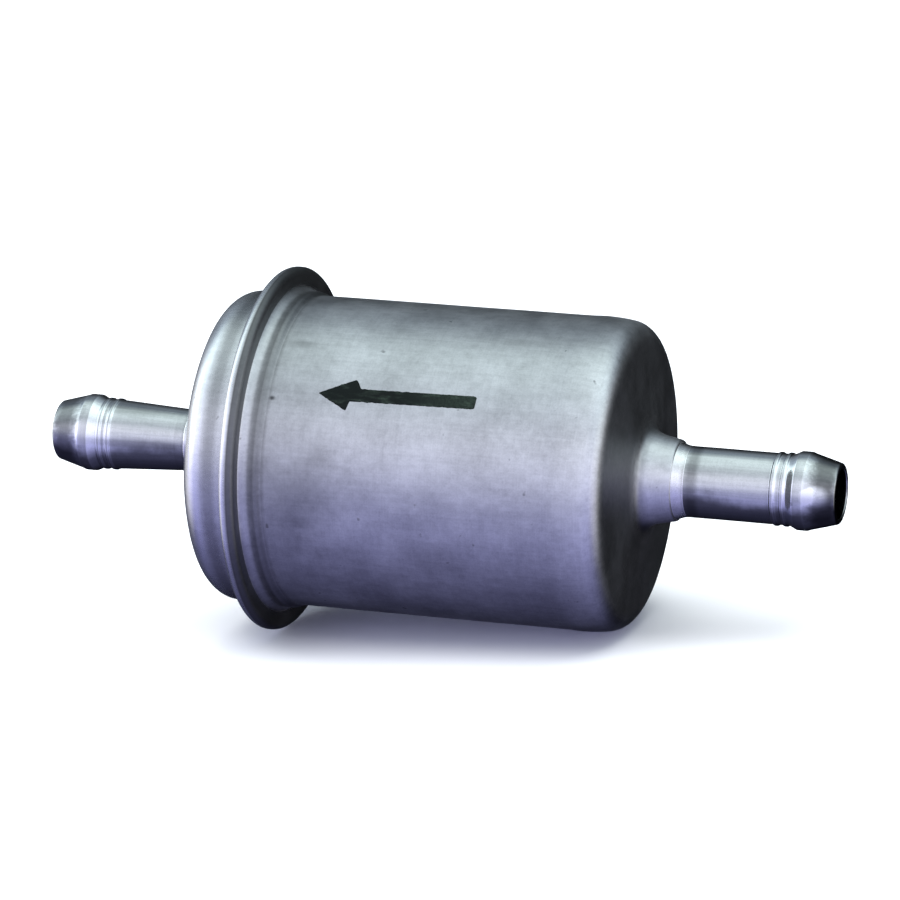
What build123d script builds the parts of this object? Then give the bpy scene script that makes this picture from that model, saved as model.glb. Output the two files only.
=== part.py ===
from build123d import *

import math
import os

os.makedirs("parts", exist_ok=True)

# In-line fuel filter. The axis is X, fuel enters at +X and leaves at -X, and Z is up.
# The origin is on the axis, at the middle of the can's straight wall. Sizes are in millimetres.

# Driving dimensions of the shell
SHEET = 0.6
CAN_RADIUS = 19.0
WALL_LENGTH = 34.0
MOUTH_RADIUS = 19.45
MOUTH_LENGTH = 3.55
STEP_START = 0.9
STEP_END = 0.3
FLANGE_RADIUS = 22.4
FLANGE_OVERLAP = 0.1
SEAL_FILM = 0.1
FILM_OUTER_GAP = 0.2
FILM_INNER_GAP = 0.9
LIP_INNER_RADIUS = 20.4
SWELL_START = 0.4
SWELL_HEIGHT = 0.1
SWELL_LENGTH = 3.0
CAN_END_DEPTH = 7.4
CAN_END_CROWN = 1.1
CAN_CORNER = 2.9
COVER_RADIUS = 19.1
COVER_DEPTH = 7.23
COVER_CORNER = 3.4
CAN_NECK_ROOT = 5.6
CAN_NECK_TIP = 4.65
CAN_NECK_LENGTH = 4.8
COVER_NECK_ROOT = 5.4
COVER_NECK_TIP = 4.2
COVER_NECK_LENGTH = 3.5
NECK_FILLET = 1.2
SEAM_BEND = 0.8
RIM_BEND = 0.55
FLANGE_BEND = 1.0
SWELL_BEND = 12.0

# Hose spigots
OVERALL_LENGTH = 99.6
INLET_TIP = 49.3
TUBE_RADIUS = 4.3
OUTLET_ROOT_RADIUS = 3.85
ROOT_STRAIGHT = 5.6
BORE_RADIUS = 3.05
BEAD_RADIUS = 4.75
BEAD_LAND = 1.2
BEAD_TO_TIP = 4.4
BEAD_RAMP = 0.9
BEAD_EASE = 0.35
BEAD_EASE_DROP = 0.14
NOSE_RADIUS = 3.65
LIP_ROUND = 0.4
RING_HEIGHT = 0.16
RING_WIDTH = 0.7
RING_OFFSETS = (1.95, 3.15)
INLET_INSERTION = 4.6
OUTLET_INSERTION = 2.8
BRAZE_LENGTH = 0.6
BRAZE_HEIGHT = 0.45

# Filter element
ELEMENT_SETBACK = 7.3
PAN_SHEET = 0.5
PAN_RADIUS = 17.1
PAN_DEPTH = 3.0
PAN_EDGE = 0.35
PAN_BENDS = [0.4, 0.6]
COLLAR_STANDOFF = 0.4
POTTING_DEPTH = 1.3
POTTING_SHRINK = 0.4
PAPER_OUTER = 16.0
PAPER_INNER = 8.5
PAPER_THICKNESS = 0.45
PLEATS = 30
CREST_LEAN = 1.9
HOLLOW_LEAN = 0.35
CORE_OUTER = 7.8
CORE_INNER = 7.3
HOLE_RADIUS = 1.5
HOLES_AROUND = 8
HOLE_ROWS = 6
COLLAR_RADIUS = 6.9
SEAL_OUTER = 10.6
SEAL_HEIGHT = 2.6
SEAL_ROUND = 0.6
SEAL_CLEARANCE = 0.15
SEAL_SQUEEZE_GAP = 0.02
SCREEN_RADIUS = 6.6
SCREEN_THICKNESS = 0.3
SCREEN_LENGTH = 20.0
SCREEN_BEND = 2.0
SCREEN_CENTRE = 0.6
SCREEN_STANDOFF = 0.2
RING_LENGTH = 2.2
CLIP_WIDTH = 2.4
CLIP_SHEET = 0.4
CLIP_STANDOFF = 0.25
CLIP_SHORTER = 0.1
SLIP = 0.05
SNUG = 0.02

# Preload spring and locating spider
SPRING_RADIUS = 9.0
SPRING_WIRE = 0.55
SPRING_TURNS = 2.5
SPRING_END_GAP = 0.25
SPIDER_SHEET = 0.5
SPIDER_LEGS = 4
SPIDER_LEG_WIDTH = 5.0
SPIDER_LEG_DEPTH = 4.0
SPIDER_REACH = 17.7
SPIDER_HOLE = 4.5
SPIDER_RIM = 2.2

# Flow arrow, wrapped on the wall
INK = 0.06
ARROW_TIP = -11.0
ARROW_LENGTH = 19.5
ARROW_HEAD = 4.2
ARROW_HEAD_HALF = 1.95
ARROW_BARB = 0.6
ARROW_SHAFT_HALF = 0.78
ARROW_ANGLE = 37.0

# Stations along X worked out from the driving dimensions
WALL_START = -WALL_LENGTH / 2
WALL_END = WALL_LENGTH / 2
FLANGE_X = WALL_START - MOUTH_LENGTH
CAN_END_X = WALL_END + CAN_END_DEPTH
COVER_END_X = FLANGE_X - COVER_DEPTH
CAN_FLANGE_MID = FLANGE_X + SEAL_FILM / 2
LIP_MID = CAN_FLANGE_MID + SHEET
COVER_FLANGE_MID = CAN_FLANGE_MID - SHEET - SEAL_FILM
RIM_MID_RADIUS = FLANGE_RADIUS - SHEET / 2
CAN_NECK_X = CAN_END_X + CAN_END_CROWN - SHEET / 2
CAN_NECK_END = CAN_END_X + CAN_NECK_LENGTH
COVER_NECK_END = COVER_END_X - COVER_NECK_LENGTH
OUTLET_TIP = INLET_TIP - OVERALL_LENGTH

# Stations of the filter element, from the seal on the cover to the spring on the can's end
SEAL_X = COVER_END_X + SHEET + SEAL_SQUEEZE_GAP
OUTLET_PAN_X = SEAL_X + SEAL_HEIGHT
PAPER_START = OUTLET_PAN_X + PAN_SHEET + POTTING_DEPTH
SPIDER_X = CAN_END_X - ELEMENT_SETBACK
INLET_PAN_X = SPIDER_X - PAN_SHEET
PAPER_END = INLET_PAN_X - POTTING_DEPTH
SPRING_START = SPIDER_X + SPIDER_SHEET + SPRING_WIRE + SLIP
SPRING_END = CAN_END_X + CAN_END_CROWN * 0.75 - SHEET - SPRING_WIRE - SPRING_END_GAP


# The outer skin: one drawn can and one drawn cover, each the same sheet all over.
can_path = [
    (CAN_FLANGE_MID, RIM_MID_RADIUS - SHEET - FLANGE_OVERLAP),
    (CAN_FLANGE_MID, MOUTH_RADIUS - SHEET / 2),
    (WALL_START - STEP_START, MOUTH_RADIUS - SHEET / 2),
    (WALL_START - STEP_END, CAN_RADIUS - SHEET / 2),
    (WALL_END + SWELL_START, CAN_RADIUS - SHEET / 2),
    (WALL_END + SWELL_LENGTH, CAN_RADIUS + SWELL_HEIGHT - SHEET / 2),
    (CAN_END_X - SHEET / 2, CAN_RADIUS - SHEET / 2),
    (CAN_NECK_X, CAN_NECK_ROOT),
    (CAN_NECK_END, CAN_NECK_TIP),
]
can_bends = [
    FLANGE_BEND,
    SEAM_BEND,
    SEAM_BEND,
    SWELL_BEND,
    SWELL_BEND,
    CAN_CORNER - SHEET / 2,
    NECK_FILLET,
]

with BuildPart() as housing_can:
    with BuildSketch(Plane.XZ):
        with BuildLine():
            FilletPolyline(*can_path, radius=can_bends)
            offset(amount=SHEET / 2, side=Side.BOTH)
        make_face()
    revolve(axis=Axis.X)

cover_path = [
    (LIP_MID, LIP_INNER_RADIUS),
    (LIP_MID, RIM_MID_RADIUS),
    (COVER_FLANGE_MID, RIM_MID_RADIUS),
    (COVER_FLANGE_MID, COVER_RADIUS - SHEET / 2),
    (COVER_END_X + SHEET / 2, COVER_RADIUS - SHEET / 2),
    (COVER_END_X + SHEET / 2, COVER_NECK_ROOT),
    (COVER_NECK_END, COVER_NECK_TIP),
]
cover_bends = [RIM_BEND, RIM_BEND, SEAM_BEND, COVER_CORNER - SHEET / 2, NECK_FILLET]

with BuildPart() as end_cover:
    with BuildSketch(Plane.XZ):
        with BuildLine():
            FilletPolyline(*cover_path, radius=cover_bends)
            offset(amount=SHEET / 2, side=Side.BOTH)
        make_face()
    revolve(axis=Axis.X)

# Sealing film squeezed between the two flanges inside the rolled seam.
with BuildPart() as seam_gasket:
    with BuildSketch(Plane.YZ.offset(CAN_FLANGE_MID - SHEET / 2 - SEAL_FILM)):
        Circle(RIM_MID_RADIUS - SHEET - FILM_OUTER_GAP)
        Circle(MOUTH_RADIUS + FILM_INNER_GAP, mode=Mode.SUBTRACT)
    extrude(amount=SEAL_FILM)


def spigot_section(tip, root, root_radius):
    """Return half the section of a hose spigot, from its open tip back to its inner end.

    The tip points away from the can, so every length is stepped from the tip
    towards the root, whichever way along X that is. The tube narrows to
    root_radius, which it keeps over the straight part inside the neck.
    """
    step = 1 if root > tip else -1
    land_start = tip + step * (BEAD_TO_TIP - BEAD_LAND / 2)
    land_end = land_start + step * BEAD_LAND
    bead_mid = tip + step * BEAD_TO_TIP
    with BuildSketch(Plane.XZ) as section:
        with BuildLine():
            Line((tip, BORE_RADIUS), (tip, NOSE_RADIUS - LIP_ROUND))
            ThreePointArc(
                (tip, NOSE_RADIUS - LIP_ROUND),
                (tip + step * LIP_ROUND * 0.3, NOSE_RADIUS - LIP_ROUND * 0.3),
                (tip + step * LIP_ROUND, NOSE_RADIUS),
            )
            Polyline(
                (tip + step * LIP_ROUND, NOSE_RADIUS),
                (land_start - step * BEAD_EASE, BEAD_RADIUS - BEAD_EASE_DROP),
                (land_start, BEAD_RADIUS),
                (land_end, BEAD_RADIUS),
                (land_end + step * BEAD_RAMP, TUBE_RADIUS),
            )
            last = (land_end + step * BEAD_RAMP, TUBE_RADIUS)
            for ring_offset in RING_OFFSETS:
                near = (bead_mid + step * (ring_offset - RING_WIDTH / 2), TUBE_RADIUS)
                far = (near[0] + step * RING_WIDTH, TUBE_RADIUS)
                crest = (near[0] + step * RING_WIDTH / 2, TUBE_RADIUS + RING_HEIGHT)
                Line(last, near)
                ThreePointArc(near, crest, far)
                last = far
            Polyline(
                last,
                (root - step * ROOT_STRAIGHT, root_radius),
                (root, root_radius),
                (root, BORE_RADIUS),
                (tip, BORE_RADIUS),
            )
        make_face()
    return section.sketch


with BuildPart() as inlet_spigot:
    revolve(spigot_section(INLET_TIP, CAN_NECK_END - INLET_INSERTION, TUBE_RADIUS), axis=Axis.X)

with BuildPart() as outlet_spigot:
    revolve(
        spigot_section(OUTLET_TIP, COVER_NECK_END + OUTLET_INSERTION, OUTLET_ROOT_RADIUS),
        axis=Axis.X,
    )


def braze_section(neck_end, side, tube):
    """Return half the section of the hollow fillet of braze at a neck's cut edge."""
    start = neck_end + side * SHEET / 2
    crest = (start, tube + BRAZE_HEIGHT)
    middle = (start + side * BRAZE_LENGTH * 0.3, tube + BRAZE_HEIGHT * 0.35)
    toe = (start + side * BRAZE_LENGTH, tube)
    with BuildSketch(Plane.XZ) as section:
        with BuildLine():
            Line((start, tube), crest)
            ThreePointArc(crest, middle, toe)
            Line(toe, (start, tube))
        make_face()
    return section.sketch


with BuildPart() as inlet_braze_ring:
    revolve(braze_section(CAN_NECK_END, 1, TUBE_RADIUS), axis=Axis.X)

with BuildPart() as outlet_braze_ring:
    revolve(braze_section(COVER_NECK_END, -1, OUTLET_ROOT_RADIUS), axis=Axis.X)


# Element end pans: pressed caps with a turned-in rim that holds the potting.
with BuildPart() as outlet_end_cap:
    with BuildSketch(Plane.XZ):
        with BuildLine():
            FilletPolyline(
                (SEAL_X + COLLAR_STANDOFF, COLLAR_RADIUS + PAN_SHEET / 2),
                (OUTLET_PAN_X + PAN_SHEET / 2, COLLAR_RADIUS + PAN_SHEET / 2),
                (OUTLET_PAN_X + PAN_SHEET / 2, PAN_RADIUS - PAN_SHEET / 2),
                (OUTLET_PAN_X + PAN_DEPTH, PAN_RADIUS - PAN_SHEET / 2),
                radius=PAN_BENDS,
            )
            offset(amount=PAN_SHEET / 2, side=Side.BOTH)
        make_face()
    revolve(axis=Axis.X)

with BuildPart() as inlet_end_cap:
    with BuildSketch(Plane.XZ):
        with BuildLine():
            Polyline(
                (SPIDER_X, 0),
                (SPIDER_X, PAN_RADIUS),
                (SPIDER_X - PAN_DEPTH, PAN_RADIUS),
                (SPIDER_X - PAN_DEPTH, PAN_RADIUS - PAN_SHEET),
                (INLET_PAN_X, PAN_RADIUS - PAN_SHEET),
                (INLET_PAN_X, 0),
                close=True,
            )
        make_face()
    revolve(axis=Axis.X)
    fillet(inlet_end_cap.edges().group_by(Axis.X)[-1], PAN_EDGE)


def potting_section(start):
    """Return the ring of adhesive that fills an end pan around the core tube."""
    with BuildSketch(Plane.YZ.offset(start)) as section:
        Circle(PAN_RADIUS - PAN_SHEET - POTTING_SHRINK)
        Circle(CORE_OUTER + SLIP, mode=Mode.SUBTRACT)
    return section.sketch


with BuildPart() as outlet_potting:
    extrude(potting_section(OUTLET_PAN_X + PAN_SHEET), amount=POTTING_DEPTH)

with BuildPart() as inlet_potting:
    extrude(potting_section(PAPER_END), amount=POTTING_DEPTH)


def pleat_points(outer, inner, lean):
    """Return the corners of a star ring, shifted round by lean degrees on alternate flanks."""
    corners = []
    for pleat in range(PLEATS):
        crest = math.radians(360 / PLEATS * pleat)
        root = math.radians(360 / PLEATS * (pleat + 0.5))
        for angle, radius, side in ((crest, outer, -lean), (crest, outer, lean), (root, inner, 0)):
            turned = angle + math.radians(side)
            corners.append((radius * math.cos(turned), radius * math.sin(turned)))
    return corners


# Folded paper: one star ring outside, another inside, with the sheet between them.
with BuildPart() as pleated_paper:
    with BuildSketch(Plane.YZ.offset(PAPER_START)):
        Polygon(*pleat_points(PAPER_OUTER, PAPER_INNER + 2 * PAPER_THICKNESS, CREST_LEAN), align=None)
        Polygon(
            *pleat_points(PAPER_OUTER - PAPER_THICKNESS, PAPER_INNER, HOLLOW_LEAN),
            align=None,
            mode=Mode.SUBTRACT,
        )
    extrude(amount=PAPER_END - PAPER_START)

# Clip that closes the two ends of the folded sheet, between two pleats.
with BuildPart() as seam_clip:
    with BuildSketch(Plane.YZ.offset(PAPER_START + CLIP_SHORTER)):
        with PolarLocations(PAPER_OUTER + CLIP_STANDOFF, 1, start_angle=0):
            Rectangle(CLIP_SHEET, CLIP_WIDTH)
    extrude(amount=PAPER_END - PAPER_START - 2 * CLIP_SHORTER)

# Perforated core that stops the paper collapsing inwards.
core_length = INLET_PAN_X - OUTLET_PAN_X - PAN_SHEET
with BuildPart() as core_tube:
    with BuildSketch(Plane.YZ.offset(OUTLET_PAN_X + PAN_SHEET)):
        Circle(CORE_OUTER)
        Circle(CORE_INNER, mode=Mode.SUBTRACT)
    extrude(amount=core_length)
    row_pitch = core_length / (HOLE_ROWS + 1)
    for row in range(HOLE_ROWS):
        row_x = OUTLET_PAN_X + PAN_SHEET + row_pitch * (row + 1)
        for hole in range(HOLES_AROUND):
            turn = 360 / HOLES_AROUND * (hole + 0.5 * (row % 2))
            radial = Plane(
                origin=(row_x, 0, 0),
                x_dir=(1, 0, 0),
                z_dir=(0, math.cos(math.radians(turn)), math.sin(math.radians(turn))),
            )
            with BuildSketch(radial):
                Circle(HOLE_RADIUS)
            extrude(amount=CORE_OUTER + 1, mode=Mode.SUBTRACT)

# Gauze sock inside the core, closed at its inlet end, on a ring pressed into the core.
screen_start = OUTLET_PAN_X + PAN_SHEET + SCREEN_STANDOFF
with BuildPart() as outlet_screen:
    with BuildSketch(Plane.XZ):
        with BuildLine():
            FilletPolyline(
                (screen_start, SCREEN_RADIUS - SCREEN_THICKNESS / 2),
                (screen_start + SCREEN_LENGTH, SCREEN_RADIUS - SCREEN_THICKNESS / 2),
                (screen_start + SCREEN_LENGTH, SCREEN_CENTRE),
                radius=SCREEN_BEND,
            )
            offset(amount=SCREEN_THICKNESS / 2, side=Side.BOTH)
        make_face()
    revolve(axis=Axis.X)

with BuildPart() as screen_ring:
    with BuildSketch(Plane.YZ.offset(screen_start)):
        Circle(CORE_INNER - SNUG)
        Circle(SCREEN_RADIUS + SNUG, mode=Mode.SUBTRACT)
    extrude(amount=RING_LENGTH)

# Rubber seal on the pan's collar, squeezed against the cover round the outlet.
with BuildPart() as element_seal:
    with BuildSketch(Plane.YZ.offset(SEAL_X)):
        Circle(SEAL_OUTER)
        Circle(COLLAR_RADIUS + PAN_SHEET + SEAL_CLEARANCE, mode=Mode.SUBTRACT)
    extrude(amount=OUTLET_PAN_X - SEAL_X)
    fillet(element_seal.edges().filter_by(GeomType.CIRCLE).sort_by(SortBy.RADIUS)[-2:], SEAL_ROUND)

# Locating spider: a disc with four legs that keeps the element central in the can.
with BuildPart() as locating_spider:
    with BuildSketch(Plane.YZ.offset(SPIDER_X)):
        Circle(SPRING_RADIUS + SPIDER_RIM)
        with PolarLocations(0, SPIDER_LEGS, start_angle=45):
            Rectangle(SPIDER_REACH, SPIDER_LEG_WIDTH, align=(Align.MIN, Align.CENTER))
        Circle(SPIDER_HOLE, mode=Mode.SUBTRACT)
    extrude(amount=SPIDER_SHEET)
    with BuildSketch(Plane.YZ.offset(SPIDER_X + SPIDER_SHEET)):
        with PolarLocations(0, SPIDER_LEGS, start_angle=45):
            with Locations((SPIDER_REACH - SPIDER_SHEET, 0)):
                Rectangle(SPIDER_SHEET, SPIDER_LEG_WIDTH, align=(Align.MIN, Align.CENTER))
    extrude(amount=-(SPIDER_SHEET + SPIDER_LEG_DEPTH))

# Coil spring that holds the element on its seal.
with BuildPart() as element_spring:
    with BuildLine() as coil:
        Helix(
            pitch=(SPRING_END - SPRING_START) / SPRING_TURNS,
            height=SPRING_END - SPRING_START,
            radius=SPRING_RADIUS,
            center=(SPRING_START, 0, 0),
            direction=(1, 0, 0),
        )
    with BuildSketch(coil.line ^ 0):
        Circle(SPRING_WIRE)
    sweep(is_frenet=True)


# Printed arrow on the wall, pointing with the flow.
arrow_angle = math.radians(ARROW_ANGLE)
arrow_plane = Plane(
    origin=(0, 0, 0),
    x_dir=(1, 0, 0),
    z_dir=(0, -math.cos(arrow_angle), math.sin(arrow_angle)),
)
with BuildPart() as flow_arrow:
    with BuildSketch(arrow_plane):
        with BuildLine():
            Polyline(
                (ARROW_TIP, 0),
                (ARROW_TIP + ARROW_HEAD, ARROW_HEAD_HALF),
                (ARROW_TIP + ARROW_HEAD - ARROW_BARB, ARROW_SHAFT_HALF),
                (ARROW_TIP + ARROW_LENGTH, ARROW_SHAFT_HALF),
                (ARROW_TIP + ARROW_LENGTH, -ARROW_SHAFT_HALF),
                (ARROW_TIP + ARROW_HEAD - ARROW_BARB, -ARROW_SHAFT_HALF),
                (ARROW_TIP + ARROW_HEAD, -ARROW_HEAD_HALF),
                close=True,
            )
        make_face()
    extrude(amount=CAN_RADIUS + 1)
    with BuildSketch(Plane.YZ.offset(WALL_START)):
        Circle(CAN_RADIUS + INK)
        Circle(CAN_RADIUS, mode=Mode.SUBTRACT)
    extrude(amount=WALL_LENGTH, mode=Mode.INTERSECT)


pieces = {
    "housing_can": housing_can,
    "end_cover": end_cover,
    "seam_gasket": seam_gasket,
    "inlet_spigot": inlet_spigot,
    "outlet_spigot": outlet_spigot,
    "inlet_braze_ring": inlet_braze_ring,
    "outlet_braze_ring": outlet_braze_ring,
    "outlet_end_cap": outlet_end_cap,
    "inlet_end_cap": inlet_end_cap,
    "outlet_potting": outlet_potting,
    "inlet_potting": inlet_potting,
    "pleated_paper": pleated_paper,
    "seam_clip": seam_clip,
    "core_tube": core_tube,
    "outlet_screen": outlet_screen,
    "screen_ring": screen_ring,
    "element_seal": element_seal,
    "locating_spider": locating_spider,
    "element_spring": element_spring,
    "flow_arrow": flow_arrow,
}

for name, piece in pieces.items():
    piece.part.label = name
    export_step(piece.part, f"parts/{name}.step")
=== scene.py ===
"""In-line fuel filter: drawn zinc-plated can, crimped cover, two turned hose spigots and a flow arrow."""

import logging
import math
from abc import ABC, abstractmethod
from dataclasses import dataclass
from enum import Enum
from typing import Any, Callable, Sequence

import bpy
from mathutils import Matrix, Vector, noise


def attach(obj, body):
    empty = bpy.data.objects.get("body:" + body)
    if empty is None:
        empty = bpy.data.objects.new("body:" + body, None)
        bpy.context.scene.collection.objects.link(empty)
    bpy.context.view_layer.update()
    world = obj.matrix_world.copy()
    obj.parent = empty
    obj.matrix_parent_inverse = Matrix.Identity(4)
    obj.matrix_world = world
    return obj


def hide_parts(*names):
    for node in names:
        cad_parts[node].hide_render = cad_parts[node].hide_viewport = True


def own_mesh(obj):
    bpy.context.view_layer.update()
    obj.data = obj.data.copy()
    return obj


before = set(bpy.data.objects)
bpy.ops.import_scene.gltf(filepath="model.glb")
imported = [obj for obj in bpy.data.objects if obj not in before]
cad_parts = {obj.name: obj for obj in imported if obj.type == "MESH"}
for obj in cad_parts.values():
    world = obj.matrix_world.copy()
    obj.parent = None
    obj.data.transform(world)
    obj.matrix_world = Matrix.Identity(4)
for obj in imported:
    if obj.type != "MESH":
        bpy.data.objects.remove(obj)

MM = 0.001
LOG = logging.getLogger("fuel_filter")

# The part of a noise value's range that it mostly fills.
NOISE_SPAN = (0.3, 0.7)
# How many steps a sheet's round cut edge has.
CUT_EDGE_STEPS = 6

Point = tuple[float, float]
Color = tuple[float, float, float]
Wobble = Callable[[float, float, float], float]
Socket = bpy.types.NodeSocket
Corners = Sequence[Sequence[float]]
Loops = Sequence[Sequence[int]]


class Body(Enum):
    """The bodies that the pieces ride on."""

    SHELL = "shell"
    ELEMENT = "element"


class Slot(Enum):
    """The record's material slots."""

    CAN_STEEL = "can_steel"
    COVER_STEEL = "cover_steel"
    SPIGOT_STEEL = "spigot_steel"
    BRAZE = "braze"
    INK = "ink"
    SEALING_FILM = "sealing_film"
    PAN_STEEL = "pan_steel"
    CORE_STEEL = "core_steel"
    POTTING = "potting"
    PAPER = "paper"
    CLIP_STEEL = "clip_steel"
    GAUZE = "gauze"
    RING_PLASTIC = "ring_plastic"
    SEAL_RUBBER = "seal_rubber"
    SPRING_STEEL = "spring_steel"
    SPIDER_STEEL = "spider_steel"


class Side(Enum):
    """Which end of the filter a spigot belongs to, as the sign of its X."""

    INLET = 1
    OUTLET = -1


# ---------------------------------------------------------------- profiles and turned meshes


def spun(arm: Sequence[float], turn: float) -> Point:
    """Return the arm turned anticlockwise by turn, in radians."""
    cosine = math.cos(turn)
    sine = math.sin(turn)
    return (arm[0] * cosine - arm[1] * sine, arm[0] * sine + arm[1] * cosine)


def bend_arc(before: Point, corner: Point, after: Point, reach: float, turn: float) -> list[Point]:
    """Return the arc that rounds one corner of a path.

    Args:
        before: The corner ahead of this one.
        corner: The corner to round.
        after: The corner past this one.
        reach: How far from the corner the arc starts and ends, in millimetres.
        turn: The largest turn between two points, in degrees.

    Returns:
        The points of the arc.
    """
    here = Vector(corner)
    back = (Vector(before) - here).normalized()
    ahead = (Vector(after) - here).normalized()
    swept = math.pi - back.angle(ahead)
    radius = reach / math.tan(swept / 2)
    middle = here + (back + ahead).normalized() * radius / math.cos(swept / 2)
    start = here + back * reach - middle
    end = here + ahead * reach - middle
    side = 1.0 if start.x * end.y > start.y * end.x else -1.0
    count = max(2, math.ceil(math.degrees(swept) / turn))
    arc = []
    for index in range(count + 1):
        x, y = spun(start, side * swept * index / count)
        arc.append((middle.x + x, middle.y + y))
    return arc


def rounded(stations: Sequence[Point], bends: Sequence[float], turn: float = 6.0) -> list[Point]:
    """Round the inner corners of an open path.

    Args:
        stations: The corners of the path as (x, radius), in millimetres.
        bends: One bend radius for each inner corner. It is reduced where two bends would meet.
        turn: The largest turn between two points of a bend, in degrees.

    Returns:
        The path with each inner corner replaced by an arc.
    """
    reaches = [0.0]
    for before, corner, after, bend in zip(stations, stations[1:], stations[2:], bends):
        back = Vector(before) - Vector(corner)
        ahead = Vector(after) - Vector(corner)
        reaches.append(bend * math.tan((math.pi - back.angle(ahead)) / 2))
    reaches.append(0.0)
    lengths = [math.dist(first, last) for first, last in zip(stations, stations[1:])]
    fits = [min(1.0, 0.98 * room / max(a + b, 1e-9)) for room, a, b in zip(lengths, reaches, reaches[1:])]
    path = [stations[0]]
    for index in range(1, len(stations) - 1):
        reach = reaches[index] * min(fits[index - 1], fits[index])
        if reach < 1e-4:
            path.append(stations[index])
        else:
            path.extend(bend_arc(*stations[index - 1 : index + 2], reach, turn))
    path.append(stations[-1])
    return path


def resampled(path: Sequence[Point], step: float) -> list[Point]:
    """Add points so that no two neighbours are further apart than step.

    Args:
        path: The points of the path.
        step: The longest gap allowed, in millimetres.

    Returns:
        The path with the extra points.
    """
    dense = [path[0]]
    for first, last in zip(path, path[1:]):
        count = max(1, math.ceil(math.dist(first, last) / step))
        dense.extend(
            (first[0] + (last[0] - first[0]) * i / count, first[1] + (last[1] - first[1]) * i / count)
            for i in range(1, count + 1)
        )
    return dense


def sheet_section(path: Sequence[Point], sheet: float) -> list[Point]:
    """Thicken a mid-line into the closed section of a sheet with round cut edges.

    Args:
        path: The mid-line of the sheet.
        sheet: The thickness of the sheet, in millimetres.

    Returns:
        The closed section, without a repeated last point.
    """
    points = [Vector(p) for p in path]
    normals = []
    for index in range(len(points)):
        along = points[min(index + 1, len(points) - 1)] - points[max(index - 1, 0)]
        normals.append(Vector((-along.y, along.x)).normalized())
    half = sheet / 2
    left = [p + n * half for p, n in zip(points, normals)]
    right = [p - n * half for p, n in zip(points, normals)]
    section = list(left)
    for end, normal in ((points[-1], normals[-1]), (points[0], -normals[0])):
        for index in range(1, CUT_EDGE_STEPS):
            section.append(end + half * Vector(spun(normal, -math.pi * index / CUT_EDGE_STEPS)))
        if end is points[-1]:
            section.extend(reversed(right))
    return [(p.x, p.y) for p in section]


def turned(name: str, section: Sequence[Point], segments: int, wobble: Wobble) -> bpy.types.Object:
    """Turn a closed section round the X axis into a smooth mesh object.

    Args:
        name: The name of the new object.
        section: The closed section as (x, radius), in millimetres.
        segments: How many steps there are round the axis.
        wobble: Returns the change of radius in millimetres at (x, radius, angle).

    Returns:
        The new object, linked to the scene.
    """
    vertices = []
    for step in range(segments):
        angle = 2 * math.pi * step / segments
        for x, radius in section:
            r = radius + wobble(x, radius, angle)
            vertices.append((x * MM, -r * math.cos(angle) * MM, r * math.sin(angle) * MM))
    count = len(section)
    faces = []
    for step in range(segments):
        here = step * count
        ahead = (step + 1) % segments * count
        for index in range(count):
            after = (index + 1) % count
            faces.append((here + index, here + after, ahead + after, ahead + index))
    return mesh_object(name, vertices, faces)


def mesh_object(name: str, vertices: Corners, faces: Loops) -> bpy.types.Object:
    """Make a smooth-shaded mesh object with outward normals.

    Args:
        name: The name of the new object.
        vertices: The corners, in metres.
        faces: The faces, as indices of corners.

    Returns:
        The new object, linked to the scene.
    """
    mesh = bpy.data.meshes.new(name)
    mesh.from_pydata([tuple(v) for v in vertices], [], [tuple(f) for f in faces])
    mesh.update()
    obj = bpy.data.objects.new(name, mesh)
    bpy.context.scene.collection.objects.link(obj)
    turn_outward(mesh)
    mesh.shade_smooth()
    return obj


def turn_outward(mesh: bpy.types.Mesh) -> None:
    """Flip every face if the closed mesh is inside out."""
    mesh.calc_loop_triangles()
    volume = 0.0
    for triangle in mesh.loop_triangles:
        a, b, c = (mesh.vertices[i].co for i in triangle.vertices)
        volume += a.dot(b.cross(c))
    if volume < 0:
        mesh.flip_normals()


def ripple(x: float, angle: float, pitch: float, around: float, seed: float) -> float:
    """Smooth noise on the surface of a turned piece, from about -1 to 1.

    Args:
        x: The station along the axis, in millimetres.
        angle: The angle round the axis, in radians.
        pitch: The length of one wave along the axis, in millimetres.
        around: How many waves there are round the axis, roughly.
        seed: Moves the pattern.

    Returns:
        The height of the noise.
    """
    spread = around / (2 * math.pi)
    return noise.noise(Vector((x / pitch, spread * math.cos(angle) + seed, spread * math.sin(angle) - seed)))


# ---------------------------------------------------------------- finishes


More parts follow.
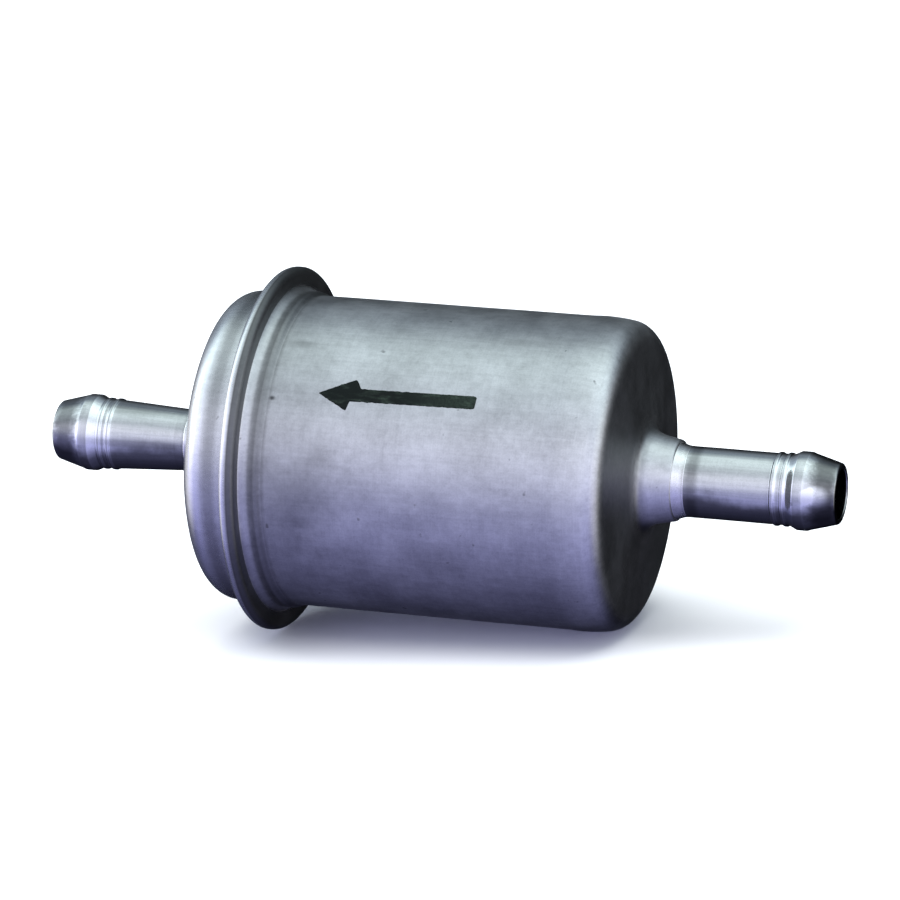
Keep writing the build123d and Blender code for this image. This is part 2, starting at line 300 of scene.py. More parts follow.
class Graph:
    """Adds and links the shader nodes of one material or of the surround."""

    def __init__(self, owner: bpy.types.Material | bpy.types.World) -> None:
        """Take the owner and empty its node tree."""
        self.owner = owner
        self.owner.use_nodes = True
        self.tree = self.owner.node_tree
        self.tree.nodes.clear()

    @classmethod
    def of_material(cls, name: str) -> "Graph":
        """Return the empty graph of a new material."""
        return cls(bpy.data.materials.new(name))

    def node(self, kind: str, values: dict[Any, Any] | None = None, **settings: Any) -> bpy.types.Node:
        """Add a node.

        Args:
            kind: The type of the node.
            values: A value or a socket to link, for each input by name or index.
            **settings: Properties of the node.

        Returns:
            The new node.
        """
        made = self.tree.nodes.new(kind)
        for key, value in settings.items():
            setattr(made, key, value)
        for key, value in (values or {}).items():
            if isinstance(value, Socket):
                self.tree.links.new(value, made.inputs[key])
            else:
                made.inputs[key].default_value = value
        return made

    def point(self) -> Socket:
        """Return the position on the object, in millimetres."""
        coords = self.node("ShaderNodeTexCoord")
        return self.scaled(coords.outputs["Object"], (1000.0, 1000.0, 1000.0))

    def scaled(self, vector: Socket, factors: Color) -> Socket:
        """Return the vector multiplied by the factors."""
        return self.vector("MULTIPLY", vector, factors)

    def vector(self, operation: str, first: Any, second: Any = (0.0, 0.0, 0.0)) -> Socket:
        """Return the result of a vector operation, which is a number for a dot product or a length."""
        made = self.node("ShaderNodeVectorMath", {0: first, 1: second}, operation=operation)
        return made.outputs["Value" if operation in {"DOT_PRODUCT", "LENGTH"} else "Vector"]

    def noise(self, vector: Socket, scale: float, detail: float = 3.0, roughness: float = 0.55) -> Socket:
        """Return a noise value from 0 to 1 at the vector."""
        values = {"Vector": vector, "Scale": scale, "Detail": detail, "Roughness": roughness}
        return self.node("ShaderNodeTexNoise", values).outputs[0]

    def math(self, operation: str, first: Any, second: Any = 0.0, third: Any = 0.0) -> Socket:
        """Return the result of a math operation."""
        made = self.node("ShaderNodeMath", {0: first, 1: second}, operation=operation)
        if operation in {"MULTIPLY_ADD", "SMOOTH_MIN", "SMOOTH_MAX"}:
            if isinstance(third, Socket):
                self.tree.links.new(third, made.inputs[2])
            else:
                made.inputs[2].default_value = third
        return made.outputs[0]

    def remap(self, value: Socket, source: Point, target: Point, smooth: bool = True) -> Socket:
        """Return value moved from the source range to the target range, clamped."""
        inputs = {0: value, 1: source[0], 2: source[1], 3: target[0], 4: target[1]}
        kind = "SMOOTHSTEP" if smooth else "LINEAR"
        return self.node("ShaderNodeMapRange", inputs, interpolation_type=kind, clamp=True).outputs[0]

    def total(self, *terms: Socket) -> Socket:
        """Return the sum of the terms."""
        result = terms[0]
        for term in terms[1:]:
            result = self.math("ADD", result, term)
        return result

    def mix(self, factor: Any, first: Any, second: Any) -> Socket:
        """Return a colour between first and second."""
        made = self.node("ShaderNodeMix", data_type="RGBA", clamp_factor=True)
        for index, value in ((0, factor), (6, first), (7, second)):
            if isinstance(value, Socket):
                self.tree.links.new(value, made.inputs[index])
            elif index == 0:
                made.inputs[index].default_value = value
            else:
                made.inputs[index].default_value = (*value, 1.0)
        return made.outputs[2]

    def axis_parts(self, point: Socket) -> tuple[Socket, Socket]:
        """Return the station along the axis and the radius of the point, in millimetres."""
        parts = self.node("ShaderNodeSeparateXYZ", {0: point})
        flat = self.scaled(point, (0.0, 1.0, 1.0))
        return parts.outputs[0], self.vector("LENGTH", flat)

    def bump(self, height: Socket, strength: float, distance: float) -> Socket:
        """Return a normal bumped by the height, whose full step is distance millimetres."""
        values = {"Height": height, "Strength": strength, "Distance": distance * MM}
        return self.node("ShaderNodeBump", values).outputs[0]

    def surface(self, values: dict[str, Any]) -> bpy.types.Material:
        """Finish the material with a Principled surface and return it."""
        shader = self.node("ShaderNodeBsdfPrincipled", values)
        self.node("ShaderNodeOutputMaterial", {"Surface": shader.outputs[0]})
        return self.owner

    def ramp(self, value: Socket, stops: Sequence[tuple[float, Color]]) -> Socket:
        """Return the colour that a ramp with the stops has at the value.

        Args:
            value: The value from 0 to 1 that picks the colour.
            stops: The positions from 0 to 1 with their colours.

        Returns:
            The colour socket.
        """
        made = self.node("ShaderNodeValToRGB", {0: value})
        elements = made.color_ramp.elements
        while len(elements) < len(stops):
            elements.new(0.5)
        for element, (position, color) in zip(elements, stops):
            element.position = position
            element.color = (*color, 1.0)
        return made.outputs[0]


@dataclass(frozen=True)
class Finish(ABC):
    """A finish that makes one material."""

    slot: Slot
    tint: Color
    roughness: float

    @abstractmethod
    def build(self) -> bpy.types.Material:
        """Make the material."""


@dataclass(frozen=True)
class DirtAndShadeRing:
    """A dark ring in a corner of a turned piece, in millimetres: soiling on some pieces, painted shade on
    others.
    """

    x: float
    width: float
    depth: float
    ragged: float = 0.3


@dataclass(frozen=True)
class SpeckShadeAndHighlightPatch:
    """A soft patch on one side of the piece, in millimetres and degrees. Above zero it darkens, for specks
    and painted shade; below zero it brightens as a painted highlight.
    """

    x: float
    angle: float
    reach: Point
    depth: float
    core: float = 0.15


@dataclass(frozen=True)
class PaintedShadeZone:
    """A stretch of the piece, by station and radius, whose steel is darkened as painted shade and made
    rougher.
    """

    x: Point
    radius: Point
    depth: float
    roughen: float = 0.14


@dataclass(frozen=True)
class PlatedSteel(Finish):
    """Satin zinc-plated steel with draw lines, turning marks, mottling and specks."""

    mottle: float = 0.20
    streaks: float = 0.05
    rings: float = 0.03
    specks: float = 0.5
    bump_height: float = 0.006
    wear_and_shade: tuple[Point, Point] = ((0.0, 1.0), (1.0, 1.0))
    dirt_and_shade_rings: tuple[DirtAndShadeRing, ...] = ()
    marks: tuple[SpeckShadeAndHighlightPatch, ...] = ()
    painted_shade_zone: PaintedShadeZone | None = None

    def mark_depth(self, graph: Graph, point: Socket, mark: SpeckShadeAndHighlightPatch, ragged: Socket) -> Socket:
        """Return how dark a mark is at the point.

        Args:
            graph: The node graph of the material.
            point: The position, in millimetres.
            mark: The mark.
            ragged: Noise that makes the edge uneven.

        Returns:
            The depth, from 0 outside the mark.
        """
        turn = math.radians(mark.angle)
        outward = Vector((0.0, -math.cos(turn), math.sin(turn)))
        upward = Vector((0.0, math.sin(turn), math.cos(turn)))
        parts = []
        for axis, reach in ((Vector((1.0, 0.0, 0.0)), mark.reach[0]), (upward, mark.reach[1])):
            along = graph.vector("DOT_PRODUCT", point, tuple(axis))
            offset = mark.x if axis.x else 0.0
            parts.append(graph.math("DIVIDE", graph.math("SUBTRACT", along, offset), reach))
        flat = graph.node("ShaderNodeCombineXYZ", {0: parts[0], 1: parts[1]})
        away = graph.vector("LENGTH", flat.outputs[0])
        uneven = graph.math("MULTIPLY_ADD", graph.math("SUBTRACT", ragged, 0.5), 0.8, away)
        front = graph.math("GREATER_THAN", graph.vector("DOT_PRODUCT", point, tuple(outward)), 0.0)
        return graph.math("MULTIPLY", front, graph.remap(uneven, (mark.core, 1.0), (mark.depth, 0.0)))

    def build(self) -> bpy.types.Material:
        """Make the material."""
        graph = Graph.of_material(self.slot.value)
        point = graph.point()
        x, radius = graph.axis_parts(point)
        cloud = graph.noise(point, 0.16, 4.0)
        spangle = graph.noise(point, 1.1, 3.0, 0.6)
        fine = graph.noise(point, 5.0, 3.0, 0.6)
        draw = graph.noise(graph.scaled(point, (0.10, 2.6, 2.6)), 1.0, 3.0)
        turning = graph.noise(graph.scaled(point, (5.5, 0.10, 0.10)), 1.0, 3.0)
        tone = graph.total(
            graph.remap(cloud, NOISE_SPAN, (1.0 - self.mottle * 0.6, 1.0 + self.mottle * 0.4), False),
            graph.remap(spangle, NOISE_SPAN, (-self.mottle * 0.45, self.mottle * 0.35), False),
            graph.remap(fine, NOISE_SPAN, (-self.mottle * 0.3, self.mottle * 0.3), False),
            graph.remap(draw, NOISE_SPAN, (-self.streaks, self.streaks * 0.8), False),
            graph.remap(turning, NOISE_SPAN, (-self.rings, self.rings), False),
        )
        # Painted shade: the tone is scaled along the axis, darker at the crimped end of the can.
        tone = graph.math("MULTIPLY", tone, graph.remap(x, *self.wear_and_shade))
        pits = graph.remap(graph.noise(point, 0.62, 1.5, 0.7), (0.72, 0.78), (0.0, self.specks))
        tone = graph.math("MULTIPLY", tone, graph.math("SUBTRACT", 1.0, pits))
        # Dark rings: soiling on the noses, painted shade in the other corners.
        for ring in self.dirt_and_shade_rings:
            gap = graph.math("ABSOLUTE", graph.math("SUBTRACT", x, ring.x))
            rough_gap = graph.math("MULTIPLY_ADD", graph.math("SUBTRACT", spangle, 0.5), ring.ragged, gap)
            dirt_and_shade = graph.remap(rough_gap, (ring.width * 0.2, ring.width), (ring.depth, 0.0))
            tone = graph.math("MULTIPLY", tone, graph.math("SUBTRACT", 1.0, dirt_and_shade))
        # Patches darken for specks and painted shade; below zero they are painted highlights.
        for mark in self.marks:
            dark = self.mark_depth(graph, point, mark, cloud)
            tone = graph.math("MULTIPLY", tone, graph.math("SUBTRACT", 1.0, dark))
        color = graph.vector("MULTIPLY", self.tint, tone)
        patch = graph.remap(cloud, (0.35, 0.65), (self.roughness * 0.9, self.roughness * 1.12), False)
        rough = graph.total(
            patch,
            graph.remap(fine, NOISE_SPAN, (-0.03, 0.03), False),
            graph.remap(pits, (0.0, 1.0), (0.0, 0.2), False),
        )
        # Painted shade: the zone's steel is darkened, and it is made rougher.
        if self.painted_shade_zone:
            along = graph.remap(x, self.painted_shade_zone.x, (0.0, 1.0))
            zone = graph.math("MULTIPLY", along, graph.remap(radius, self.painted_shade_zone.radius, (0.0, 1.0)))
            fade = graph.math("SUBTRACT", 1.0, graph.math("MULTIPLY", zone, self.painted_shade_zone.depth))
            color = graph.vector("MULTIPLY", color, fade)
            rough = graph.math("MULTIPLY_ADD", zone, self.painted_shade_zone.roughen, rough)
        height = graph.total(
            graph.math("MULTIPLY", spangle, 0.6),
            graph.math("MULTIPLY", fine, 0.3),
            graph.math("MULTIPLY", draw, 0.22),
            graph.math("MULTIPLY", turning, 0.12),
        )
        normal = graph.bump(height, 1.0, self.bump_height)
        return graph.surface({"Base Color": color, "Metallic": 1.0, "Roughness": rough, "Normal": normal})


@dataclass(frozen=True)
class BareSheet(Finish):
    """Tin plate or bare steel of the inner parts, with rolling marks and stains."""

    stain: Color = (0.32, 0.29, 0.25)

    def build(self) -> bpy.types.Material:
        """Make the material."""
        graph = Graph.of_material(self.slot.value)
        point = graph.point()
        rolled = graph.noise(graph.scaled(point, (0.3, 0.3, 7.0)), 1.0, 4.0)
        blotch = graph.noise(point, 0.35, 4.0)
        fine = graph.noise(point, 4.0, 3.0)
        color = graph.mix(graph.remap(blotch, (0.52, 0.75), (0.0, 0.6)), self.tint, self.stain)
        color = graph.mix(graph.remap(rolled, (0.4, 0.8), (0.0, 0.25)), color, (0.85, 0.85, 0.86))
        rough = graph.remap(fine, NOISE_SPAN, (self.roughness - 0.06, self.roughness + 0.1), False)
        normal = graph.bump(graph.total(rolled, fine), 0.8, 0.006)
        return graph.surface({"Base Color": color, "Metallic": 1.0, "Roughness": rough, "Normal": normal})


@dataclass(frozen=True)
class Moulded(Finish):
    """Rubber, plastic or potting compound, with flow marks and dust."""

    dust: Color = (0.30, 0.29, 0.27)
    gloss_spread: float = 0.12
    grain: float = 4.8

    def build(self) -> bpy.types.Material:
        """Make the material."""
        graph = Graph.of_material(self.slot.value)
        point = graph.point()
        flow = graph.noise(point, 0.5, 4.0)
        grain = graph.noise(point, self.grain, 3.0, 0.65)
        color = graph.mix(graph.remap(flow, (0.5, 0.75), (0.0, 0.35)), self.tint, self.dust)
        gloss = (self.roughness - self.gloss_spread, self.roughness + self.gloss_spread)
        rough = graph.remap(flow, NOISE_SPAN, gloss)
        normal = graph.bump(graph.total(flow, grain), 0.7, 0.02)
        return graph.surface({"Base Color": color, "Roughness": rough, "Normal": normal})


@dataclass(frozen=True)
class FilterPaper(Finish):
    """Resin-treated filter paper with fibres, darker towards the axis and in soft clouds."""

    darker_tone: Color = (0.50, 0.36, 0.18)

    def build(self) -> bpy.types.Material:
        """Make the material."""
        graph = Graph.of_material(self.slot.value)
        point = graph.point()
        fibre = graph.noise(graph.scaled(point, (3.0, 1.0, 1.0)), 3.0, 5.0, 0.7)
        cloud = graph.noise(point, 0.3, 3.0)
        radius = graph.axis_parts(point)[1]
        # Darker towards the axis.
        deep = graph.remap(radius, (9.0, 15.5), (0.75, 0.0))
        color = graph.mix(deep, self.tint, self.darker_tone)
        color = graph.mix(graph.remap(fibre, (0.45, 0.8), (0.0, 0.4)), color, (0.86, 0.74, 0.50))
        color = graph.mix(graph.remap(cloud, (0.45, 0.75), (0.0, 0.3)), color, self.darker_tone)
        normal = graph.bump(fibre, 0.8, 0.03)
        rough = graph.remap(fibre, NOISE_SPAN, (self.roughness - 0.05, self.roughness + 0.08), False)
        return graph.surface({"Base Color": color, "Roughness": rough, "Normal": normal})


@dataclass(frozen=True)
class Gauze(Finish):
    """Fine woven nylon gauze, drawn as a weave in the shading."""

    pitch: float = 0.35
    threads: float = 118.0

    def build(self) -> bpy.types.Material:
        """Make the material."""
        graph = Graph.of_material(self.slot.value)
        point = graph.point()
        parts = graph.node("ShaderNodeSeparateXYZ", {0: point})
        angle = graph.math("ARCTAN2", parts.outputs[2], parts.outputs[1])
        warp = graph.math("SINE", graph.math("MULTIPLY", parts.outputs[0], 2 * math.pi / self.pitch))
        weft = graph.math("SINE", graph.math("MULTIPLY", angle, self.threads))
        weave = graph.math("MULTIPLY", warp, weft)
        shade = graph.noise(point, 0.8, 3.0)
        color = graph.mix(graph.remap(weave, (-1.0, 1.0), (0.0, 1.0), False), self.tint, (0.20, 0.20, 0.18))
        color = graph.mix(graph.remap(shade, (0.5, 0.8), (0.0, 0.4)), color, (0.50, 0.46, 0.34))
        rough = graph.remap(shade, NOISE_SPAN, (self.roughness - 0.05, self.roughness + 0.1), False)
        normal = graph.bump(weave, 1.0, 0.06)
        return graph.surface({"Base Color": color, "Roughness": rough, "Normal": normal})


@dataclass(frozen=True)
class StampedInk(Finish):
    """Stamped ink that is thin and greenish in places, and wears away at the end of the stroke."""

    thin: Color = (0.030, 0.045, 0.034)

    def build(self) -> bpy.types.Material:
        """Make the material."""
        graph = Graph.of_material(self.slot.value)
        point = graph.point()
        x = graph.axis_parts(point)[0]
        smear = graph.noise(graph.scaled(point, (0.6, 2.0, 2.0)), 1.0, 4.0)
        grain = graph.noise(point, 4.5, 3.0, 0.7)
        tail = graph.remap(x, (-2.0, 8.0), (0.0, 0.45))
        wear_and_shade = graph.math("ADD", graph.remap(smear, (0.45, 0.75), (0.0, 0.7)), tail)
        wear_and_shade = graph.math("MULTIPLY", wear_and_shade, graph.remap(grain, (0.3, 0.65), (0.2, 1.0)))
        color = graph.mix(wear_and_shade, self.tint, self.thin)
        rough = graph.remap(grain, NOISE_SPAN, (self.roughness - 0.08, self.roughness + 0.1), False)
        normal = graph.bump(graph.total(smear, grain), 0.6, 0.01)
        values = {"Base Color": color, "Roughness": rough, "Normal": normal, "Specular IOR Level": 0.12}
        return graph.surface(values)


ZINC = (0.71, 0.71, 0.72)

# The painted shade zones, the darkening along the can, most dark rings and patches and the stripes on the
# outlet tube are painted shade in the steel itself, and the bright patches on the noses are painted
# highlights. They aren't stains of the object and can be taken out.
FINISHES: tuple[Finish, ...] = (
    PlatedSteel(
        Slot.CAN_STEEL,
        ZINC,
        0.36,
        # Painted shade: the wall darkens towards the crimped rim.
        wear_and_shade=((-18.0, -8.0), (0.86, 1.0)),
        # Painted shade: dark rings beside the flange, at the seam and round the root of the neck.
        dirt_and_shade_rings=(DirtAndShadeRing(-17.8, 1.3, 0.52, 0.2), DirtAndShadeRing(-20.5, 0.5, 0.65, 0.1), DirtAndShadeRing(25.2, 2.0, 0.45)),
        marks=(
            SpeckShadeAndHighlightPatch(-16.7, 33.3, (0.55, 0.45), 0.75),
            # Painted shade: the four patches from here darken the wall; the patch above is a speck.
            SpeckShadeAndHighlightPatch(-13.0, -2.0, (9.0, 9.5), 0.32),
            SpeckShadeAndHighlightPatch(-14.6, 57.0, (2.2, 0.9), 0.25),
            SpeckShadeAndHighlightPatch(12.0, 66.0, (3.0, 1.4), 0.22),
            SpeckShadeAndHighlightPatch(4.0, -22.0, (5.0, 3.0), 0.12),
        ),
        # Painted shade: the closed end is darkened, and made rougher.
        painted_shade_zone=PaintedShadeZone((24.0, 24.6), (5.9, 8.5), 0.60),
    ),
    PlatedSteel(
        Slot.COVER_STEEL,
        (0.86, 0.86, 0.87),
        0.28,
        mottle=0.12,
        # Painted shade: the first ring darkens the dome beside the rolled rim. The second ring darkens the
        # end of the neck.
        dirt_and_shade_rings=(DirtAndShadeRing(-23.9, 1.2, 0.36, 0.2), DirtAndShadeRing(-31.2, 0.6, 0.45)),
        # Painted shade: the can-side face of the rolled rim is darkened, and made rougher.
        painted_shade_zone=PaintedShadeZone((-20.65, -20.35), (18.0, 19.0), 0.80),
    ),
    PlatedSteel(
        Slot.SPIGOT_STEEL,
        (0.98, 0.99, 0.99),
        0.12,
        mottle=0.12,
        streaks=0.10,
        rings=0.02,
        specks=0.35,
        bump_height=0.004,
        dirt_and_shade_rings=(
            # The first and last rings are soiling on the noses; the two between are painted shade round the
            # tube roots.
            DirtAndShadeRing(-48.6, 3.0, 0.76, 1.6),
            DirtAndShadeRing(-32.2, 1.2, 0.4),
            DirtAndShadeRing(31.8, 1.1, 0.45),
            DirtAndShadeRing(47.9, 2.9, 0.80, 1.2),
        ),
        marks=(
            # Painted shade: long dark patches under both tubes.
            SpeckShadeAndHighlightPatch(37.0, -60.0, (30.0, 4.1), 0.74, 0.68),
            SpeckShadeAndHighlightPatch(-39.0, -60.0, (30.0, 3.7), 0.70, 0.6),
            # Painted reflection: two dark stripes along the outlet tube.
            SpeckShadeAndHighlightPatch(-39.0, 0.0, (9.0, 1.0), 0.35),
            SpeckShadeAndHighlightPatch(-39.0, 64.0, (9.0, 1.5), 0.35),
            # Painted highlights: bright patches on both noses.
            SpeckShadeAndHighlightPatch(47.0, 6.0, (1.9, 1.5), -3.5),
            SpeckShadeAndHighlightPatch(-46.2, 12.0, (1.0, 1.8), -1.0),
        ),
    ),
    PlatedSteel(Slot.BRAZE, (0.97, 0.96, 0.95), 0.24, mottle=0.22, streaks=0.0, rings=0.0, bump_height=0.02),
    StampedInk(Slot.INK, (0.004, 0.006, 0.0055), 0.7),
    Moulded(Slot.SEALING_FILM, (0.035, 0.034, 0.034), 0.6),
    BareSheet(Slot.PAN_STEEL, (0.66, 0.66, 0.64), 0.32),
    BareSheet(Slot.CORE_STEEL, (0.58, 0.58, 0.57), 0.36),
    Moulded(Slot.POTTING, (0.57, 0.45, 0.21), 0.42, dust=(0.40, 0.29, 0.13)),
    FilterPaper(Slot.PAPER, (0.74, 0.58, 0.33), 0.85),
    BareSheet(Slot.CLIP_STEEL, (0.60, 0.60, 0.58), 0.3),
    Gauze(Slot.GAUZE, (0.64, 0.67, 0.64), 0.45),
    Moulded(Slot.RING_PLASTIC, (0.10, 0.11, 0.12), 0.45),
    Moulded(Slot.SEAL_RUBBER, (0.025, 0.025, 0.026), 0.62, dust=(0.11, 0.11, 0.11)),
    BareSheet(Slot.SPRING_STEEL, (0.46, 0.46, 0.48), 0.28, stain=(0.30, 0.24, 0.18)),
    BareSheet(Slot.SPIDER_STEEL, (0.62, 0.62, 0.61), 0.34),
)


class Paint:
    """Makes each finish once and puts it on pieces and CAD nodes."""

    def __init__(self, finishes: Sequence[Finish]) -> None:
        """Make every finish."""
        self.materials = {finish.slot: finish.build() for finish in finishes}

    def dress(self, obj: bpy.types.Object, slot: Slot) -> None:
        """Give the object the finish of the slot."""
        if not obj.material_slots:
            obj.data.materials.append(None)
        for holder in obj.material_slots:
            holder.link = "OBJECT"
            holder.material = self.materials[slot]


# ---------------------------------------------------------------- sub-assemblies


@dataclass
class Piece(ABC):
    """A piece that stands for CAD nodes and rides on one body."""

    name: str
    nodes: tuple[str, ...]
    slot: Slot
    body: Body

    @abstractmethod
    def mesh(self) -> bpy.types.Object:
        """Make the mesh of the piece, in the row frame."""

    def build(self, paint: Paint) -> bpy.types.Object:
        """Make the piece, dress it and hang it on its body.

        Args:
            paint: The finishes.

        Returns:
            The finished piece.
        """
        obj = self.mesh()
        paint.dress(obj, self.slot)
        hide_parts(*self.nodes)
        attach(obj, self.body.value)
        return obj


@dataclass
class DrawnShell(Piece):
    """A deep-drawn sheet part turned round the axis, with slight waves from the press."""

    stations: tuple[Point, ...] = ()
    bends: tuple[float, ...] = ()
    sheet: float = 0.6
    step: float = 0.55
    segments: int = 224
    wave: float = 0.02
    rim_radius: float = 20.5
    rim_wave: float = 0.09
    seed: float = 0.0

    def wobble(self, x: float, radius: float, angle: float) -> float:
        """Return the change of radius at a point, in millimetres.

        Args:
            x: The station along the axis, in millimetres.
            radius: The true radius there, in millimetres.
            angle: The angle round the axis, in radians.

        Returns:
            The change of radius, never outwards at the rim.
        """
        body = self.wave * ripple(x, angle, 9.0, 7.0, self.seed) * min(1.0, radius / 12.0)
        edge = max(0.0, min(1.0, (radius - self.rim_radius) / 0.8))
        rim = edge * self.rim_wave * (0.5 * ripple(x, angle, 30.0, 16.0, self.seed + 4.0) - 0.5)
        return body * (1.0 - edge) + rim

    def mesh(self) -> bpy.types.Object:
        """Make the mesh of the piece, in the row frame."""
        path = resampled(rounded(self.stations, self.bends), self.step)
        return turned(self.name, sheet_section(path, self.sheet), self.segments, self.wobble)


@dataclass
class Spigot(Piece):
    """A turned hose spigot: conical nose, bead, two fine rings and a plain tube."""

    side: Side = Side.INLET
    tip: float = 49.3
    root: float = 24.6
    tube: float = 4.3
    neck_tube: float = 4.3
    straight: float = 5.6
    bore: float = 3.05
    nose: float = 3.65
    lip: float = 0.4
    bead: float = 4.75
    bead_from_tip: float = 4.4
    land: float = 1.2
    ramp: float = 0.9
    rings: tuple[float, ...] = (1.95, 3.15)
    ring_height: float = 0.16
    ring_width: float = 0.7
    ring_top: float = 0.45
    ring_bend: float = 0.2
    crown: Point = (0.35, 0.14)
    segments: int = 144

    def section(self) -> list[Point]:
        """Return the closed section of the spigot, with X growing towards the tip."""
        land_start = self.bead_from_tip - self.land / 2
        land_end = self.bead_from_tip + self.land / 2
        corners: list[tuple[float, float, float]] = [
            (1.0, self.bore, 0.0),
            (0.0, self.bore, 0.18),
            (0.0, self.nose, self.lip),
            (land_start - self.crown[0], self.bead - self.crown[1], 0.8),
            (land_start, self.bead, 0.4),
            (land_end, self.bead, 0.35),
            (land_end + self.ramp, self.tube, 0.6),
        ]
        for offset in self.rings:
            middle = self.bead_from_tip + offset
            half = self.ring_width / 2
            top = self.tube + self.ring_height
            for back, radius in (
                (middle - half, self.tube),
                (middle - half * self.ring_top, top),
                (middle + half * self.ring_top, top),
                (middle + half, self.tube),
            ):
                corners.append((back, radius, self.ring_bend))
        length = self.tip - self.root
        narrow = length - self.straight
        corners.append((narrow, self.neck_tube, 3.0))
        corners.append((length, self.neck_tube, 0.05))
        corners.append((length, self.bore, 0.05))
        stations = [(self.tip - back, radius) for back, radius, _ in corners] + [(self.tip - 1.0, self.bore)]
        bends = [bend for _, _, bend in corners[1:]]
        path = resampled(rounded(stations, bends, 9.0), 0.45)
        return path[:-1]

    def wobble(self, x: float, radius: float, angle: float) -> float:
        """Return the small change of radius left by turning and handling, in millimetres."""
        return 0.012 * ripple(x, angle, 2.6, 5.0, 3.0) - 0.012

    def mesh(self) -> bpy.types.Object:
        """Make the mesh of the piece, in the row frame."""
        section = [(self.side.value * x, radius) for x, radius in self.section()]
        return turned(self.name, section, self.segments, self.wobble)


@dataclass
class BrazeRing(Piece):
    """The smooth, slightly uneven fillet of filler that runs from a neck's cut edge onto its spigot."""

    side: Side = Side.INLET
    start: float = 29.0
    length: float = 1.9
    tube: float = 4.3
    height: float = 0.45
    sunk: float = 0.04
    steps: int = 16
    segments: int = 160

    def wobble(self, x: float, radius: float, angle: float) -> float:
        """Return the change of radius where the filler ran thin, in millimetres."""
        share = max(0.0, min(1.0, (radius - self.tube) / self.height))
        return share * (1.0 - share) * 0.5 * (ripple(x, angle, 3.0, 9.0, 1.0) - 0.4)

    def mesh(self) -> bpy.types.Object:
        """Make the mesh of the piece, in the row frame."""
        slope = []
        for index in range(self.steps + 1):
            share = index / self.steps
            drop = 0.5 + 0.5 * math.cos(math.pi * share)
            slope.append((self.start + self.length * share, self.tube + self.height * drop))
        end = self.start + self.length
        section = [(self.start, self.tube - self.sunk), *slope, (end, self.tube - self.sunk)]
        section = [(self.side.value * x, radius) for x, radius in section]
        return turned(self.name, section, self.segments, self.wobble)


@dataclass
class FlowArrow(Piece):
    """The flow arrow: a thin coat of ink with a slightly ragged outline, wrapped on the wall."""

    wall: float = 19.0
    ink: float = 0.05
    angle: float = 36.6
    tail_angle: float = 37.5
    tip: float = -11.0
    length: float = 19.5
    upper_barb: float = 4.3
    lower_barb: float = 3.65
    head_half: float = 2.0
    shaft_half: float = 0.83
    coarse_rag: float = 0.07
    fine_rag: float = 0.03
    corner: float = 0.45
    columns: int = 260
    rows: int = 14

    def edge(self, along: float, upper: bool) -> float:
        """Return how far the ink reaches from the arrow's middle line at a station.

        Args:
            along: The distance from the tip, in millimetres.
            upper: True for the upper edge, False for the lower one.

        Returns:
            The reach in millimetres, never negative.
        """
        barb = self.upper_barb if upper else self.lower_barb
        ragged = self.coarse_rag * noise.noise(Vector((along * 1.7, 5.0 if upper else 9.0, 0.0)))
        ragged += self.fine_rag * noise.noise(Vector((along * 6.0, 2.0 if upper else 7.0, 1.0)))
        if along <= barb:
            reach = self.head_half * (along / barb) ** 0.95
        else:
            drop = min(1.0, (along - barb) / (1.0 if upper else 0.4))
            eased = drop * drop * (3.0 - 2.0 * drop)
            reach = self.head_half + (self.shaft_half - self.head_half) * eased
        left = max(0.0, self.length - along)
        if left < self.corner:
            cut = math.sqrt(max(0.0, self.corner**2 - (self.corner - left) ** 2))
            reach -= 0.5 * (self.corner - cut)
        return max(0.0, reach + ragged * min(1.0, along / 0.8))

    def mesh(self) -> bpy.types.Object:
        """Make the mesh of the piece, in the row frame."""
        vertices: list[tuple[float, float, float]] = []
        for layer in (self.ink, 0.0):
            for column in range(self.columns + 1):
                along = self.length * column / self.columns
                low = -self.edge(along, False)
                high = self.edge(along, True)
                for row in range(self.rows + 1):
                    reach = low + (high - low) * row / self.rows
                    rim = min(row, self.rows - row, column, self.columns - column)
                    height = self.wall + layer * (0.55 if rim == 0 else 1.0)
                    lean = self.angle + (self.tail_angle - self.angle) * along / self.length
                    turn = math.radians(lean) + reach / self.wall
                    slant = 0.05 * reach if column == self.columns else 0.0
                    x = self.tip + along + slant
                    vertices.append((x * MM, -height * math.cos(turn) * MM, height * math.sin(turn) * MM))
        per_column = self.rows + 1
        per_layer = per_column * (self.columns + 1)
        faces: list[tuple[int, ...]] = []
        for column in range(self.columns):
            for row in range(self.rows):
                a = column * per_column + row
                quad = (a, a + 1, a + per_column + 1, a + per_column)
                faces.append(quad)
                faces.append(tuple(i + per_layer for i in reversed(quad)))
        loop = [c * per_column for c in range(self.columns + 1)]
        loop += [self.columns * per_column + r for r in range(1, per_column)]
        loop += [c * per_column + self.rows for c in range(self.columns - 1, -1, -1)]
        loop += list(range(self.rows - 1, 0, -1))
        for first, last in zip(loop, loop[1:] + loop[:1]):
            faces.append((first, last, last + per_layer, first + per_layer))
        return mesh_object(self.name, vertices, faces)


